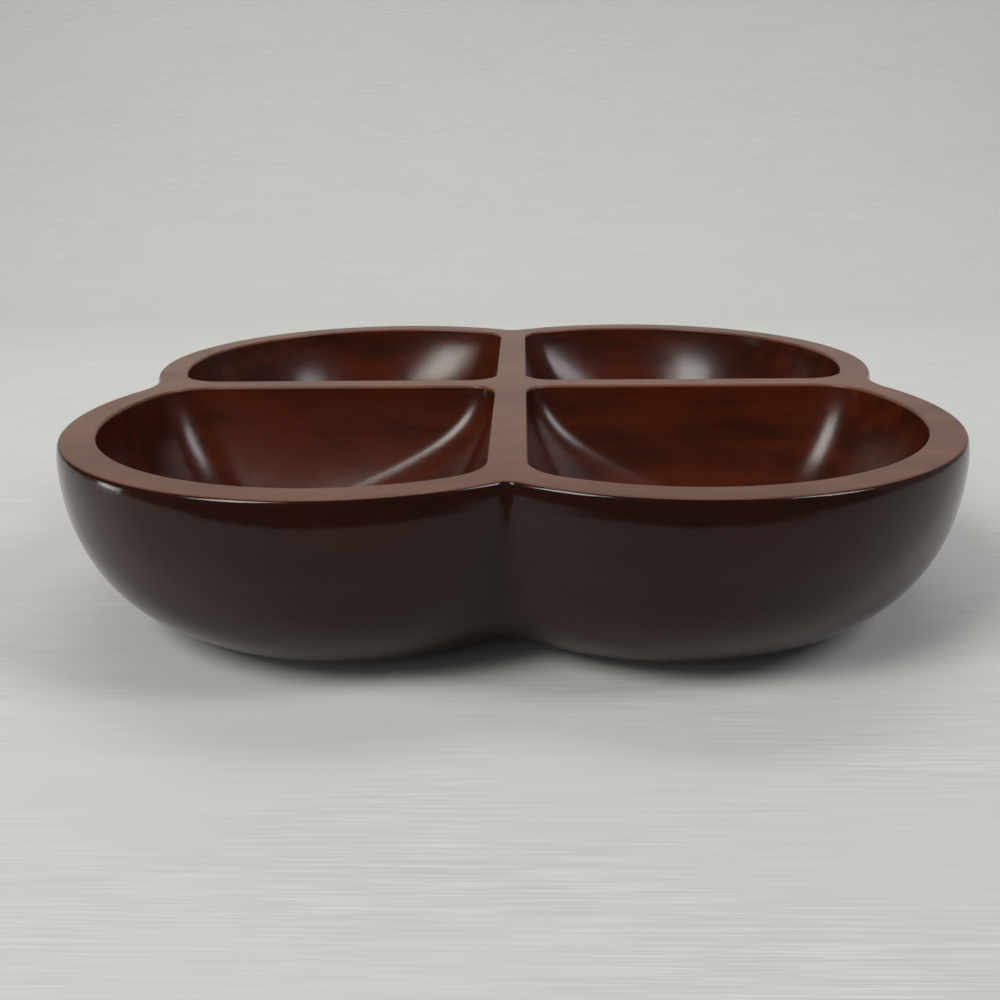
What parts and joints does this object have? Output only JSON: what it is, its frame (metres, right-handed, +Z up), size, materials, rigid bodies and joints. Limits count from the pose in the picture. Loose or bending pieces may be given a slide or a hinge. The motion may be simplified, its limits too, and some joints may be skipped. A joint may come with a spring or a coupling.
{
  "type": "divided serving bowl",
  "caption": "Carved and lacquered wooden serving bowl with a lobed outline and crossed dividers that part it into scooped compartments, on a flat base.",
  "frame": {"origin": "middle of the flat underside, on the surface that the bowl stands on", "axes": "+Z up, +X along the grain of the boards towards the bowl's right, -Y towards its front"},
  "size_m": [0.302, 0.288, 0.064],
  "materials": {
    "lacquered_hardwood": "dark red-brown stained hardwood under gloss lacquer, with a satin rim"
  },
  "bodies": {
    "root": {"front_board": "lacquered_hardwood", "centre_board": "lacquered_hardwood", "rear_board": "lacquered_hardwood"}
  },
  "joints": []
}
